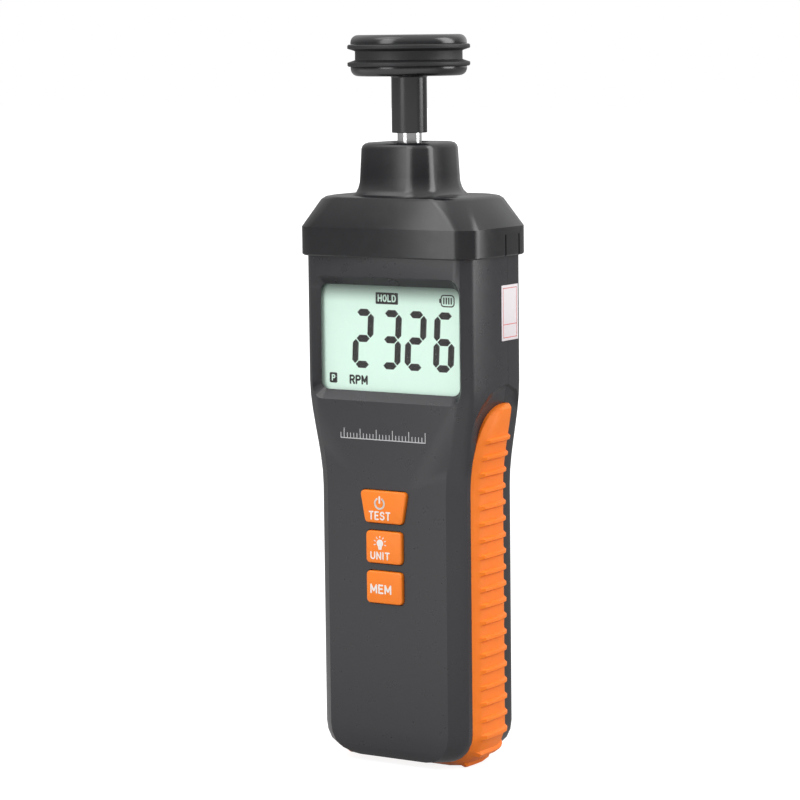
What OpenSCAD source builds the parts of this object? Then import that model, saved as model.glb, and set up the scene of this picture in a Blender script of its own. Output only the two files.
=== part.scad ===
// Handheld contact tachometer: a two-shell case with a soft side grip, a display, three keys,
// a pull-off contact adapter with a ball-bearing spindle, and a surface speed wheel.
// The spindle axis is the Z axis, the display faces -Y, and the case stands on Z = 0.

/* [Case] */
// Case beside the display, on either side
head_border = 4.1; // [3.9:0.1:4.8]
// Width of the case at the handle
handle_w = 44.4; // [43.8:0.1:46]
// Front face of the case, in front of the spindle axis
case_front = 13.4; // [13.1:0.1:13.8]
// Back face of the case, behind the spindle axis
case_rear = 14.3; // [14:0.1:14.4]
// Height of the case's top face, under the adapter
case_top = 139.8; // [139.4:0.1:140.2]
// Height at which the handle starts to widen
waist_low = 73.1; // [67.4:0.1:74.4]
// Height at which the case reaches its full width
waist_high = 100.9; // [98.4:0.1:105.4]
// Thickness of the case walls
wall = 1.8; // [1.6:0.1:2]
// Size of the front edge's bevel
front_edge = 4; // [3.6:0.1:4.2]
// Radius of the back edges
rear_edge = 2.7; // [2.2:0.1:3]
// Radius of the two bottom corners, seen from the front
foot_corner = 8; // [7:0.5:9]
// Position of the plane that parts the two shells, behind the spindle axis
parting_y = 6.5; // [6:0.1:6.8]

/* [Side grip] */
// How far the grip sinks into the case
grip_sink = 1.6; // [1.4:0.1:1.7]
// How far the grip stands out of the case
grip_rise = 1.6; // [1.3:0.1:1.8]
// Width of the grip from front to back
grip_w = 16.4; // [15.6:0.1:17.4]
// Height of the grip's rounded upper end
grip_top = 95.5; // [93.4:0.1:96.4]
// How far the grip stands out under the case
foot_rise = 1.9; // [1.7:0.1:2]
// How far a rib stands out of the grip
rib_rise = 0.8; // [0.4:0.1:0.9]
// Distance from rib to rib
rib_pitch = 4.3; // [4.1:0.1:4.4]
// Ribs on each side of the case
rib_count = 21; // [18:1:21]

/* [Display] */
// Width of the visible display
window_w = 42.4; // [40:0.1:44]
// Height of the visible display
window_h = 27.6; // [26:0.1:28.5]
// Height of the display's centre
window_z = 112.5; // [112:0.1:113]
// Width of the sloping rim around the display
rim_w = 1.9; // [1.5:0.1:2]
// Height of the sloping rim above and below the display
rim_h = 2.4; // [2:0.1:2.8]
// Depth of the display below the front face
rim_depth = 2.5; // [2.3:0.1:2.6]
// Corner radius of the display
window_corner = 2; // [1:0.1:3]

/* [Keys] */
// Sideways position of the keys
key_x = -0.4; // [-2:0.1:2]
// Height of each key
key_h = 8.5; // [8:0.1:8.8]
// Width of the lower two keys
key_w = 11; // [10.4:0.1:11.6]
// Width of the upper key along its top
key_top_w = 14.1; // [13.4:0.1:14.8]
// Distance from key to key
key_pitch = 10.6; // [10.3:0.1:11]
// Height of the lowest key's centre
key_z = 47.7; // [46.9:0.1:48.4]
// How far the keys stand out of the front face
key_rise = 0.9; // [0.9:0.1:1.4]
// Travel of a key
key_travel = 0.7; // [0.4:0.1:0.8]

/* [Adapter] */
// Wall of the adapter's skirt
skirt_wall = 1.25; // [1.1:0.05:1.4]
// Height of the skirt's lower edge
skirt_low = 133.8; // [133.2:0.1:134.4]
// Height at which the skirt ends and the shoulder starts to slope
skirt_high = 141.3; // [140.8:0.1:141.8]
// Height of the flat shoulder
shoulder_z = 149.4; // [149:0.1:149.8]
// How far the shoulder slopes in at each side
shoulder_in = 6.6; // [6:0.1:7]
// Side length of the bearing tower
tower_w = 21.1; // [20.5:0.1:21.6]
// Height of the bearing tower's top
tower_top = 163.1; // [162.8:0.1:163.8]
// Width of the snap tongue
tongue_w = 6.7; // [6:0.1:8]

/* [Spindle and wheel] */
// Diameter of the spindle
spindle_d = 6.35; // [6.3:0.01:6.4]
// Outer diameter of the ball bearings
bearing_d = 12.7; // [12.6:0.1:13]
// Width of the ball bearings
bearing_w = 4.8; // [4.6:0.1:4.9]
// Diameter over the tyre: its circumference is 100 mm
tyre_d = 31.83; // [31.4:0.01:32]
// Diameter at the bottom of the tyre's groove
groove_d = 27.9; // [27.4:0.1:28.4]
// Diameter of the wheel's flanges
flange_d = 30.2; // [29.8:0.1:30.8]
// Thickness of the wheel
wheel_w = 10.6; // [10.2:0.1:11]
// Length of the wheel's stem
stem_len = 14.7; // [12:0.1:18]
// Diameter of the wheel's stem
stem_d = 9.25; // [9:0.05:9.6]
// Gap between the stem and the bearing tower
stem_gap = 2.4; // [1.8:0.1:3]

/* [Power] */
// Diameter of a battery cell
cell_d = 10.5; // [10.2:0.1:10.5]
// Length of a battery cell
cell_len = 44.5; // [44:0.1:44.6]
// Thickness of the battery door
door_t = 1.3; // [1.2:0.1:1.5]

/* [Hidden] */
$fn = 64;

over = 1;            // overrun of the cuts
slip = 0.03;         // radial gap of a running or push fit
seat_gap = 0.05;     // gap between pieces that only lie together
part_gap = 0.25;     // gap round a key or a door
fit_gap = 0.2;       // gap between the adapter and the case
inner_fn = 32;       // segments of the faceted roundings
steps = 5;           // segments of a lofted corner

// Case, worked out
head_w = window_w + 2 * head_border;
bottom_z = foot_rise;                     // lower edge of the shells
foot_x = handle_w / 2 - foot_corner;      // centre of a bottom corner
foot_z = bottom_z + foot_corner;
grip_wall = 1.2;                          // wall behind the grip
grip_mid = 0.55;                          // middle of the grip, front to back
grip_y0 = grip_mid - grip_w / 2;
grip_y1 = grip_mid + grip_w / 2;
grip_round_front = 18.5;                  // length of the grip's rounded end, in front
grip_round_rear = 8;                      // and behind
grip_slope = 1.5;                         // steepness of the grip's shoulders
bow_power = 2.4;                          // fullness of the grip's rounded end
foot_bevel = 1.8;                         // bevel along the front face's lower edge
foot_bevel_h = 2.5;
bevel_shares = [[1, 0], [0.72, 0.24], [0.47, 0.45], [0.22, 0.66], [0, 1]]; // the handle's bevel

// Stack behind the front face, as distances from the spindle axis
face_in = case_front - wall;
lens_y = -case_front + rim_depth;
lens_t = 1.2;
lcd_t = 2.2;
board_y = -4.5;
board_t = 1.6;
lcd_y = lens_y + lens_t + seat_gap;

// A corner's arc, and the ring of a lofted piece
function arc(x, y, r, a0, a1) =
    [for (i = [0:steps]) let (a = a0 + (a1 - a0) * i / steps) [x + r * cos(a), y + r * sin(a)]];
function ring(hw, front, rear, rf, rr) = concat(
    arc(hw - rf, rf - front, rf, -90, 0), arc(hw - rr, rear - rr, rr, 0, 90),
    arc(rr - hw, rear - rr, rr, 90, 180), arc(rf - hw, rf - front, rf, 180, 270));
function lift(points, z) = [for (p = points) [p[0], p[1], z]];
function flip(points) = [for (i = [len(points) - 1:-1:0]) [-points[i][0], points[i][1]]];

// A solid through a list of rings that have equally many points
module loft(rings) {
    n = len(rings[0]);
    m = len(rings);
    polyhedron(
        points = [for (r = rings) each r],
        faces = concat(
            [[for (i = [0:n - 1]) i]],
            [[for (i = [n - 1:-1:0]) (m - 1) * n + i]],
            [for (j = [0:m - 2], i = [0:n - 1]) let (k = (i + 1) % n) [j * n + i, j * n + n + i, j * n + n + k]],
            [for (j = [0:m - 2], i = [0:n - 1]) let (k = (i + 1) % n) [j * n + i, j * n + n + k, j * n + k]]));
}

// A rectangle with round corners, of exact arcs
module round_rect(w, h, r) {
    square([w - 2 * r, h], center = true);
    square([w, h - 2 * r], center = true);
    for (x = [-1, 1], y = [-1, 1])
        translate([x * (w / 2 - r), y * (h / 2 - r)]) circle(r);
}

// A prism that runs along Y, from y0 to y1, over a drawing in X and Z
module along_y(y0, y1) {
    translate([0, y1, 0]) rotate([90, 0, 0]) linear_extrude(y1 - y0) children();
}

// A cylinder along Y
module rod_y(x, z, y0, y1, r) {
    translate([x, y1, z]) rotate([90, 0, 0]) cylinder(h = y1 - y0, r = r);
}

// Half the width of the case at a height above the bottom corners
function blend(a, b, t) = let (u = min(1, max(0, t))) a + (b - a) * u * u * (3 - 2 * u);
function half_w(z) = blend(handle_w, head_w, (z - waist_low) / (waist_high - waist_low)) / 2;

// The levels of the case: each is [height, half width, how far the front face is set back]
foot_angles = [90, 72, 54, 36, 18, 0];
waist_shares = [0, 0.14, 0.28, 0.42, 0.58, 0.72, 0.86, 1];
function foot_back(z) = foot_bevel * max(0, 1 - (z - bottom_z) / foot_bevel_h);
case_levels = concat(
    [for (a = foot_angles) let (z = foot_z - foot_corner * sin(a))
        [z, foot_x + foot_corner * cos(a), foot_back(z)]],
    [for (s = waist_shares) let (z = waist_low + s * (waist_high - waist_low)) [z, half_w(z), 0]],
    [[case_top, head_w / 2, 0]]);

// Front edge: a bevel at the handle that turns into a round edge at the display
function edge_point(i, z) =
    let (t = (z - waist_low) / (waist_high - waist_low), a = 90 * i / 4,
         round_p = [front_edge * (sin(a) - 1), front_edge * (1 - cos(a))],
         bevel = [-front_edge * bevel_shares[i][0], front_edge * bevel_shares[i][1]])
    [blend(bevel[0], round_p[0], t), blend(bevel[1], round_p[1], t)];
function front_half(level) =
    [for (i = [0:4]) let (p = edge_point(i, level[0]))
        [level[1] + p[0], p[1] - case_front + level[2]]];
function front_ring(level) = lift(concat(
    front_half(level), [[level[1], parting_y], [-level[1], parting_y]], flip(front_half(level))), level[0]);
function rear_half(hw, back, r) = arc(hw - r, back - r, r, 0, 90);
function rear_ring(hw, back, r, y0, z) = lift(concat(
    [[hw, y0]], rear_half(hw, back, r), flip(rear_half(hw, back, r)), [[-hw, y0]]), z);

// The hollow of the case: levels are [height, half width]
grip_in = grip_sink + grip_wall;
hollow_low = bottom_z + grip_in;
hollow_top = case_top - wall;
hollow_levels = concat(
    [for (a = foot_angles) [foot_z - (foot_corner - grip_in) * sin(a), foot_x + (foot_corner - grip_in) * cos(a)]],
    [for (s = waist_shares) let (z = waist_low + s * (waist_high - waist_low))
        [z, half_w(z) - blend(grip_in, wall, (z - waist_low) / (waist_high - waist_low))]],
    [[hollow_top, head_w / 2 - wall]]);
hollow_edge = 2.2;
module hollow(y0, y1) {
    loft([for (l = hollow_levels) lift([
        [l[1] - hollow_edge, y0], [l[1], y0 + hollow_edge], [l[1], y1 - hollow_edge], [l[1] - hollow_edge, y1],
        [hollow_edge - l[1], y1], [-l[1], y1 - hollow_edge], [-l[1], y0 + hollow_edge], [hollow_edge - l[1], y0]],
        l[0])]);
}

// The grip's path: s is measured down the right side, round the corner and along the bottom
corner_len = foot_corner * PI / 2;
half_foot = foot_x;
function path(s) =
    s < 0 ? [half_w(foot_z - s), foot_z - s]
    : s < corner_len ? let (a = 90 * s / corner_len) [foot_x + foot_corner * cos(a), foot_z - foot_corner * sin(a)]
    : [foot_x - (s - corner_len), bottom_z];
function path_out(s) =
    s < 0 ? [1, 0] : s < corner_len ? let (a = 90 * s / corner_len) [cos(a), -sin(a)] : [0, -1];
function bow(t) = pow(max(0, 1 - pow(min(1, max(0, t)), bow_power)), 1 / bow_power);
function edge_front(s, grow) =
    let (t = (foot_z - s - (grip_top - grip_round_front)) / grip_round_front)
    parting_y - (parting_y - grip_y0) * bow(t) - grow;
function edge_rear(s, grow) =
    let (t = (foot_z - s - (grip_top - grip_round_rear)) / grip_round_rear)
    parting_y + (grip_y1 - parting_y) * bow(t) + grow;
function at_path(s, side, out, y) =
    let (p = path(s), n = path_out(s)) [side * (p[0] + out * n[0]), y, p[1] + out * n[1]];

// Heights of the grip's surface over the case: u runs from -1 in front to 1 behind
rib_foot = rib_pitch * 0.19;
rib_crown = rib_pitch * 0.08;
first_rib_drop = 9.1;                     // first rib, below the grip's upper end
first_rib = foot_z - (grip_top - first_rib_drop);
function ribs(s) = [for (k = [0:rib_count - 1]) first_rib + k * rib_pitch];
function rib_bump(s) =
    let (d = min([for (r = ribs(0)) abs(s - r)]))
    d > rib_foot - rib_crown / 8 ? 0 : 1;
function turn(s) = 90 * min(1, max(0, s / corner_len));
function grip_base(s) = grip_rise + (foot_rise - grip_rise) * turn(s) / 90;
function rib_height(s) = max(0, min(rib_rise, foot_z / max(sin(turn(s)), 0.1) - foot_corner - grip_base(s)));
function grip_out(s, y, rib_share) =
    let (y0 = edge_front(s, 0), y1 = edge_rear(s, 0), mid = (y0 + y1) / 2, half = (y1 - y0) / 2,
         u = (y - mid) / half, rise = grip_base(s))
    min(1, half / (grip_w / 4)) * min(rise, grip_slope * rise * (1 - u * u))
    + rib_height(s) * rib_bump(s) * rib_share;
tip = grip_top - 0.12;
tip_shares = [0, 0.05, 0.14, 0.28, 0.45, 0.7, 0.96];
rib_ends = concat(
    [for (t = tip_shares) foot_z - (tip - t * (tip + first_rib - foot_z - rib_foot))],
    [for (r = ribs(0)) each [r - rib_foot, r - rib_crown, r + rib_crown, r + rib_foot]],
    [corner_len + rib_pitch / 4]);
front_shares = [0, 0.06, 0.15, 0.23, 0.5, 0.75, 1];
front_rib = [0, 0, 0, 1, 1, 1, 1];
rear_shares = [0, 0.4, 0.7, 0.9, 1];
rear_rib = [1, 1, 1, 0.6, 0];
function grip_section(s, side, shares, rib, front) =
    let (y0 = front ? edge_front(s, 0) : parting_y, y1 = front ? parting_y : edge_rear(s, 0))
    concat(
        [at_path(s, side, -grip_sink, y0)],
        [for (i = [0:len(shares) - 1]) let (y = y0 + (y1 - y0) * shares[i])
            at_path(s, side, grip_out(s, y, rib[i]), y)],
        [at_path(s, side, -grip_sink, y1)]);
function reversed(list) = [for (i = [len(list) - 1:-1:0]) list[i]];
module grip_band(shares, rib, front) {
    loft(concat(
        [for (s = rib_ends) grip_section(s, -1, shares, rib, front)],
        [for (s = reversed(rib_ends)) grip_section(s, 1, shares, rib, front)]));
}
recess_s = concat([foot_z - grip_top - seat_gap], rib_ends);
recess_out = 4;
function recess_section(s, side) =
    let (y0 = min(edge_front(s, seat_gap), parting_y - 0.2), y1 = max(edge_rear(s, seat_gap), parting_y + 0.2))
    [at_path(s, side, -grip_sink - seat_gap, y0), at_path(s, side, recess_out, y0),
     at_path(s, side, recess_out, y1), at_path(s, side, -grip_sink - seat_gap, y1)];
module grip_recess() {
    loft(concat([for (s = recess_s) recess_section(s, -1)], [for (s = reversed(recess_s)) recess_section(s, 1)]));
}

// The cove that follows the grip's rounded end: a step is [side of the parting plane, angle],
// and a profile point is [distance from the grip, share of the depth]
cove_depth = 0.9;
cove_in = 0.4;
cove_w = 5.2;
cove_low = 10;                            // angle at which the cove runs out
cove_profile = [[-cove_in, 1], [2.6, 0.94], [4.3, 0.66]];
cove_steps = [[-1, cove_low], [-1, 24], [-1, 38], [-1, 52], [-1, 66], [-1, 79], [1, 90],
    [1, 70], [1, 50], [1, 30], [1, cove_low]];
function bowed(share) = pow(max(0, share), 2 / bow_power);
function cove_at(f, a, d) =
    let (w = f < 0 ? parting_y - grip_y0 : grip_y1 - parting_y, h = f < 0 ? grip_round_front : grip_round_rear,
         u = bowed(cos(a)), v = bowed(sin(a)), n = [f * pow(u, bow_power - 1) / w, pow(v, bow_power - 1) / h])
    [parting_y + f * w * u, grip_top - h + h * v] + d * n / norm(n);
function cove_point(step, side, d, deep) =
    let (q = cove_at(step[0], step[1], d), k = blend(0, 1, (step[1] - cove_low) / 40))
    [side * (half_w(q[1]) - cove_depth * deep * k + 2 * seat_gap * (1 - k)), q[0], q[1]];
function cove_section(step, side) = concat(
    [for (p = cove_profile) cove_point(step, side, p[0], p[1])],
    [cove_point(step, side, cove_w, -0.17),
     cove_point(step, side, cove_w, -0.17) + [side * over, 0, 0],
     cove_point(step, side, -cove_in, -0.17) + [side * over, 0, 0]]);
module grip_cove() {
    loft([for (s = cove_steps) cove_section(s, 1)]);
    loft([for (s = reversed(cove_steps)) cove_section(s, -1)]);
}

// A rounded rectangle in X and Z at a depth y, as a ring for loft()
function frame_ring(w, h, r, y) = let (a = w / 2 - r, b = h / 2 - r)
    [for (p = concat(arc(a, b, r, 90, 0), arc(a, -b, r, 0, -90), arc(-a, -b, r, -90, -180),
        arc(-a, b, r, 180, 90))) [p[0], y, window_z + p[1]]];

// A plate across Y, centred at (x, z)
module plate_y(x, z, w, h, y0, y1) {
    translate([x - w / 2, y0, z - h / 2]) cube([w, y1 - y0, h]);
}

// Display stack
rim_over = 1.2;                            // the cut of the rim runs on past the front face
lens_border = 1.3;
lens_w = window_w + 2 * lens_border;
lens_h = window_h + 2 * lens_border;
lens_seat = 1.4;                           // wall of the lens seat
lens_back = lens_y + lens_t;
lcd_back = lcd_y + lcd_t;
lcd_w = lens_w - 0.4;
lcd_h = lens_h - 0.4;
holder_t = 0.7;                            // wall of the display holder
holder_w = lcd_w + 2 * (seat_gap + holder_t);
holder_h = lcd_h + 2 * (seat_gap + holder_t);
strip_t = 1.5;                             // contact strips above and below the backlight
strip_z = lcd_h / 2 - strip_t / 2;
light_h = lcd_h - 2 * strip_t - 4 * seat_gap;

// Board and its screws
board_back = board_y + board_t;
board_w = 2 * (handle_w / 2 - grip_in) - 2.4;
board_low = key_z - key_h / 2 - 5;
board_wide_z = waist_high + 1;
board_head_w = head_w - 2 * wall - 2;
board_tab_w = 28;
board_shoulder = window_z + holder_h / 2 + 0.8;
board_top = hollow_top - 1.6;
screw_r = 1;
pilot_r = screw_r + slip;
boss_r = 2.3;
head_r = 1.9;
head_t = 1.2;
board_screw_x = board_w / 2 - boss_r - 0.6;
tab_screw_x = board_tab_w / 2 - boss_r - 1.2;
board_screw_low = key_z + 2 * key_pitch + key_h / 2 + 3.6;
board_screw_high = board_shoulder + 2.6;
board_screws_at = [for (x = [-1, 1]) each [[x * board_screw_x, board_screw_low],
    [x * tab_screw_x, board_screw_high]]];
board_screw_len = 5.5;

// Screws that hold the case together
case_screw_r = 1.25;
case_boss_r = 2.8;
case_screws_at = [for (x = [-1, 1]) each [[x * foot_x, hollow_low + case_boss_r + 0.3],
    [x * (head_w / 2 - wall - case_boss_r - 0.2), hollow_top - case_boss_r - 0.6]]];
case_head_r = 2.3;
case_head_t = 1.8;
case_seat_y = case_rear - 6.2;
case_screw_tip = parting_y - 8;

// Keys and their switches
key_zs = [key_z + 2 * key_pitch, key_z + key_pitch, key_z];
key_tops = [key_top_w, key_w, key_w];
key_feet = [key_top_w - 2.5, key_w, key_w];
key_round = 1.1;
key_flange = 0.9;
key_flange_t = 0.95;
key_back = -face_in + seat_gap + key_flange_t;
switch_w = 6;
switch_t = 3.4;
switch_y = board_y - switch_t;
plunger_r = 1.75;
plunger_in = 0.9;

// Battery bay
cell_pitch = cell_d + 0.7;
cell_xs = [-cell_pitch, 0, cell_pitch];
bay_wall = 1.2;
contact_t = 0.4;
nub_r = 1.9;
nub_t = 0.5;
bay_w = 2 * cell_pitch + cell_d + 0.6;
bay_low = hollow_low + 2 * case_boss_r + 3;
cell_low = bay_low + contact_t + nub_t;
bay_high = cell_low + cell_len + nub_t + contact_t;
cell_y = case_rear - door_t - seat_gap - 0.2 - cell_d / 2;
bay_floor = cell_y - cell_d / 2 - 0.15;
door_w = bay_w + 2 * bay_wall - 0.2;
door_low = bay_low - bay_wall - 0.4;
door_high = bay_high + bay_wall + 6;
door_screw_z = bay_high + bay_wall + 2.9;
door_screw_len = 4;
door_boss_r = 2.6;
door_tab_w = 5;
door_tab_len = 1.4;
door_tab_t = 0.6;
door_tab_root = 1.5;                       // the tab's root on the door
door_tab_x = 8;
door_tab_y = case_rear - door_t - seat_gap;

// Sensor under the top face
sensor_r = 3.4;
sensor_flange_r = 4.1;
sensor_flange_t = 0.8;
sensor_board_z = hollow_top - 7.5;
sensor_board_w = 16;
sensor_board_y0 = board_back + 0.3;
sensor_board_y1 = 9;
diode_r = 1.5;
diode_x = 2.2;
diode_top = hollow_top - 0.9;
link_w = 8;
link_h = 2.6;

// Adapter, worked out
skirt_grow = fit_gap + skirt_wall;
skirt_hw = head_w / 2 + skirt_grow;
skirt_front = case_front + skirt_grow;
skirt_rear = case_rear + skirt_grow;
skirt_rf = front_edge + skirt_grow;
skirt_rr = rear_edge + skirt_grow;
shoulder_back = 2.3;                      // how far the slope sets back the front and rear
shoulder_round = 3.5;                     // how much rounder its corners get
skirt_edge = 0.35;                        // bevel of the skirt's lower edge
shoulder_steps = [[0, 0, 0, 0], [0.88, 0.68, 0.5, 0.58], [0.965, 0.8, 0.65, 0.8], [1, 1, 1, 1]];
cap_wall = 1.8;
cap_roof = shoulder_z - cap_wall;
chamber_hw = skirt_hw - 7.7;
chamber_front = skirt_front - 3.5;
chamber_rear = skirt_rear - 3.5;
chamber_round = 6;
cap_seat = case_top + 0.3;
tower_round = 5.2;
tower_levels = [[0, 3.3, 3], [0.35, 2.3, 2.2], [1, 1.45, 1.4], [2, 0.9, 0.8], [3.4, 0.5, 0.4], [5.2, 0.35, 0.2]];
tower_crown = [[1.6, 0], [0.8, 0.25], [0.25, 0.75], [0, 1.5]];
slot_w = 0.5;
slot_top = skirt_low + 5.6;
tongue_y = parting_y + 0.3;
catch_y = parting_y + 1.4;
catch_w = 1.6;
catch_t = 0.6;
catch_h = 2;
catch_z = skirt_low + 1.2;

// Bearings and spindle, worked out
axle_r = spindle_d / 2;
bearing_r = bearing_d / 2;
race_in_r = axle_r + slip + 1.15;
race_out_r = bearing_r - slip - 1.15;
ball_r = (bearing_r + axle_r) / 2 - axle_r - 0.42;
ball_pitch_r = (race_in_r + race_out_r) / 2;
ball_count = 9;
low_bearing_z = cap_roof;
lip_t = 1.6;
high_bearing_z = tower_top - lip_t - bearing_w;
lip_r = axle_r + 1.7;
collar_r = axle_r + 1.1;
collar_t = 0.8;
retainer_t = 1.4;
retainer_w = 2 * (chamber_front - 0.4);
retainer_hole_r = race_out_r - 0.2;
retainer_screw_x = (bearing_r + 3.7) / sqrt(2);
retainer_screw_len = 5.5;
clip_r = race_in_r;
clip_in = 0.5;
clip_t = 0.7;
clip_z = low_bearing_z - seat_gap - clip_t;
disc_r = 8;
disc_t = 1.2;
disc_z = case_top + 2.6;
disc_hub_r = 5;
disc_hub_h = 2.6;
spindle_low = disc_z + 0.6;
stem_low = tower_top + stem_gap;
wheel_low = stem_low + stem_len;
wheel_z = wheel_low + wheel_w / 2;
axle_top = wheel_low - 3;
mark_t = 0.2;
mark_r = 6.6;

// Wheel, as radii and distances from its middle
tread_half = 2.85;
tread_wall = 0.4;
tyre_depth = 3.3;
channel_r = tyre_d / 2 - tyre_depth;
groove_half = 1.15;
groove_slope = 0.65;
flange_lip = 0.5;
flange_round = wheel_w / 2 - tread_half - flange_lip;
tread_edge = 0.3;
stem_fillet = 0.4;

// The two shells, outside
module front_outer() {
    loft([for (l = case_levels) front_ring(l)]);
}
module rear_outer() {
    loft([for (l = case_levels) rear_ring(l[1], case_rear - l[2] / 2, rear_edge, parting_y + seat_gap, l[0])]);
}

// A key's outline, grown by some gap
function key_points(i, grow) =
    let (h = key_h / 2 + grow, a = key_tops[i] / 2 + grow, b = key_feet[i] / 2 + grow, r = key_round + grow,
         lean = (key_tops[i] - key_feet[i]) / 2 / key_h * r)
    concat(arc(a - r, h - r, r, 90, 0), arc(b - r + lean / 2, r - h, r, 0, -90),
        arc(r - b - lean / 2, r - h, r, -90, -180), arc(r - a, h - r, r, 180, 90));
module key_prism(i, grow, y0, y1) {
    translate([key_x, 0, key_zs[i]]) along_y(y0, y1) polygon(key_points(i, grow));
}

module front_shell() {
    color("#4c4c4e") difference() {
        union() {
            difference() {
                front_outer();
                hollow(-face_in, parting_y + case_rear);
            }
            intersection() {
                plate_y(0, window_z, lens_w + 2 * lens_seat, lens_h + 2 * lens_seat,
                    -case_front + wall / 2, lens_back);
                front_outer();
            }
            for (p = board_screws_at)
                rod_y(p[0], p[1], -face_in - seat_gap, board_y - seat_gap, boss_r);
            for (p = case_screws_at)
                rod_y(p[0], p[1], -face_in - seat_gap, parting_y, case_boss_r);
        }
        grip_recess();
        grip_cove();
        loft([
            frame_ring(window_w + 2 * rim_w * rim_over, window_h + 2 * rim_h * rim_over, window_corner + rim_w,
                -case_front - rim_depth * (rim_over - 1)),
            frame_ring(window_w, window_h, window_corner, lens_y + seat_gap)]);
        plate_y(0, window_z, lens_w + 2 * seat_gap, lens_h + 2 * seat_gap, lens_y, lens_back + over);
        for (i = [0:2])
            key_prism(i, part_gap, -case_front - over, -face_in + over);
        for (p = board_screws_at)
            rod_y(p[0], p[1], board_y - board_screw_len - 0.5, board_y + over, pilot_r);
        for (p = case_screws_at)
            rod_y(p[0], p[1], case_screw_tip - 0.5, parting_y + over, case_screw_r + slip);
        translate([0, 0, hollow_top - over]) cylinder(h = wall + 2 * over, r = sensor_r + slip);
        translate([0, 0, case_top - sensor_flange_t]) cylinder(h = wall, r = sensor_flange_r + slip);
    }
}

module rear_shell() {
    color("#3e3e40") difference() {
        union() {
            difference() {
                rear_outer();
                hollow(parting_y - over - hollow_edge, case_rear - wall);
            }
            plate_y(0, (bay_low + bay_high) / 2, bay_w + 2 * bay_wall, bay_high - bay_low + 2 * bay_wall,
                bay_floor - bay_wall, case_rear - wall / 2);
            rod_y(0, door_screw_z, case_seat_y - 1, case_rear - wall / 2, door_boss_r);
            for (p = case_screws_at)
                rod_y(p[0], p[1], parting_y + seat_gap, case_rear - wall / 2, case_boss_r + 0.4);
        }
        grip_recess();
        grip_cove();
        plate_y(0, (bay_low + bay_high) / 2, bay_w, bay_high - bay_low, bay_floor, case_rear + over);
        plate_y(0, (door_low + door_high) / 2, door_w + 2 * part_gap, door_high - door_low + 2 * part_gap,
            case_rear - door_t - seat_gap, case_rear + over);
        for (x = [-door_tab_x, door_tab_x])
            translate([x - door_tab_w / 2 - part_gap, door_tab_y - 2 * door_tab_t - 1,
                door_low - door_tab_len - part_gap])
                cube([door_tab_w + 2 * part_gap, 2 * door_tab_t + 1 + seat_gap,
                    door_tab_len + door_tab_root + 2 * part_gap]);
        rod_y(0, door_screw_z, case_seat_y, case_rear, screw_r + part_gap);
        for (p = case_screws_at) {
            rod_y(p[0], p[1], parting_y - over, case_rear + over, case_screw_r + part_gap);
            rod_y(p[0], p[1], case_seat_y, case_rear + over, case_head_r + 0.3);
        }
        for (x = [-1, 1])
            translate([x * (head_w / 2 + catch_t / 2), catch_y, catch_z - 2 * fit_gap + case_top])
                cube([3 * catch_t + seat_gap, catch_w + 2 * fit_gap, 2 * case_top], center = true);
    }
}

module front_grip() {
    color("#f07a22") grip_band(front_shares, front_rib, true);
}
module rear_grip() {
    color("#f07a22") grip_band(rear_shares, rear_rib, false);
}

module window_lens() {
    color("#dfe8e2") plate_y(0, window_z, lens_w, lens_h, lens_y, lens_back);
}
module lcd_panel() {
    color("#cfdcd2") plate_y(0, window_z, lcd_w, lcd_h, lcd_y, lcd_back);
}
module lcd_frame() {
    color("#d8d8d4") difference() {
        plate_y(0, window_z, holder_w, holder_h, lcd_y, board_y);
        plate_y(0, window_z, lcd_w + 2 * seat_gap, lcd_h + 2 * seat_gap, lcd_y - over, board_y + over);
    }
}
module backlight() {
    color("#f2f4ee") plate_y(0, window_z, lcd_w - 0.6, light_h, lcd_back + seat_gap, board_y);
}
module zebra_strips() {
    color("#2b2b2d") for (s = [-1, 1])
        plate_y(0, window_z + s * strip_z, lcd_w - 4, strip_t, lcd_back, board_y);
}

module main_board() {
    color("#1f6b3a") difference() {
        union() {
            plate_y(0, (board_low + board_shoulder) / 2, board_w, board_shoulder - board_low, board_y, board_back);
            plate_y(0, (board_wide_z + board_shoulder) / 2, board_head_w, board_shoulder - board_wide_z,
                board_y, board_back);
            plate_y(0, (board_low + board_top) / 2, board_tab_w, board_top - board_low, board_y, board_back);
        }
        for (p = board_screws_at)
            rod_y(p[0], p[1], board_y - over, board_back + over, screw_r + 0.15);
    }
}
module control_chip() {
    chip_w = 12;
    chip_t = 1.3;
    chip_pin = 0.3;
    pin_count = 12;
    pin_reach = 0.9;
    chip_drop = 4;
    color("#26272a") {
        plate_y(0, window_z - chip_drop, chip_w, chip_w, board_back, board_back + chip_t);
        for (i = [0:pin_count - 1]) {
            step = (i - (pin_count - 1) / 2) * chip_w / (pin_count + 1);
            plate_y(step, window_z - chip_drop, chip_pin, chip_w + 2 * pin_reach, board_back, board_back + chip_pin);
            plate_y(0, window_z - chip_drop + step, chip_w + 2 * pin_reach, chip_pin, board_back, board_back + chip_pin);
        }
    }
}
module board_parts() {
    can_r = 3.1;
    can_h = 5.5;
    small_w = 3;
    small_h = 1.6;
    crystal_w = 8;
    crystal_h = 3.4;
    can_x = 12;
    can_drop = 19;
    small_pitch = 6;
    small_up = 9;
    crystal_drop = 22;
    color("#b5a06a") {
        for (x = [-1, 1])
            rod_y(x * can_x, window_z - can_drop, board_back, board_back + can_h, can_r);
        for (i = [0:4])
            plate_y((i - 2) * small_pitch, window_z + small_up, small_w, small_h, board_back, board_back + small_h / 2);
        plate_y(0, window_z - crystal_drop, crystal_w, crystal_h, board_back, board_back + crystal_h);
    }
}
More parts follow.
